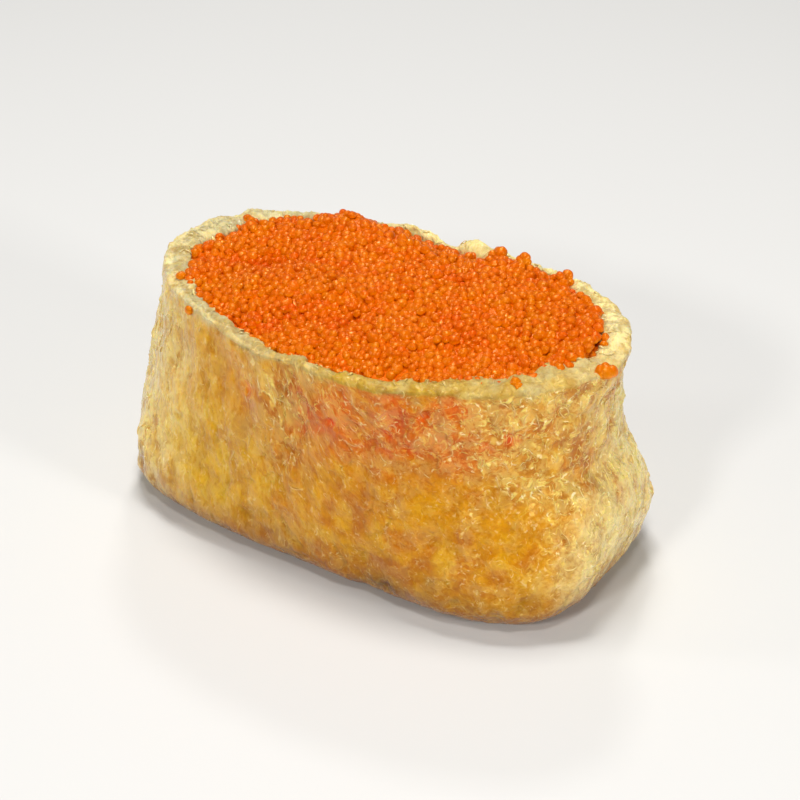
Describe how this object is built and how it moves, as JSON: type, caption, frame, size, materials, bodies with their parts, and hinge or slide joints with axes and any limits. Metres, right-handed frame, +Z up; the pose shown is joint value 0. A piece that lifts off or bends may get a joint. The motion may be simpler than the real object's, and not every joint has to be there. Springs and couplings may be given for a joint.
{
  "type": "inari sushi",
  "caption": "Oval open-topped pouch of fried tofu skin filled to a low heap with orange fish roe, standing on its flat base.",
  "frame": {"origin": "middle of the footprint, on the surface the sushi stands on", "axes": "+Z up, +X along the length towards the end that bulges low down, -Y towards the front"},
  "size_m": [0.0712, 0.0392, 0.0352],
  "materials": {
    "fried_tofu": "moist, spongy and wrinkled, amber with pale cream edges",
    "fish_roe": "glossy, translucent orange beads"
  },
  "bodies": {
    "root": {"tofu_pouch": "fried_tofu", "roe_filling": "fish_roe"}
  },
  "joints": []
}
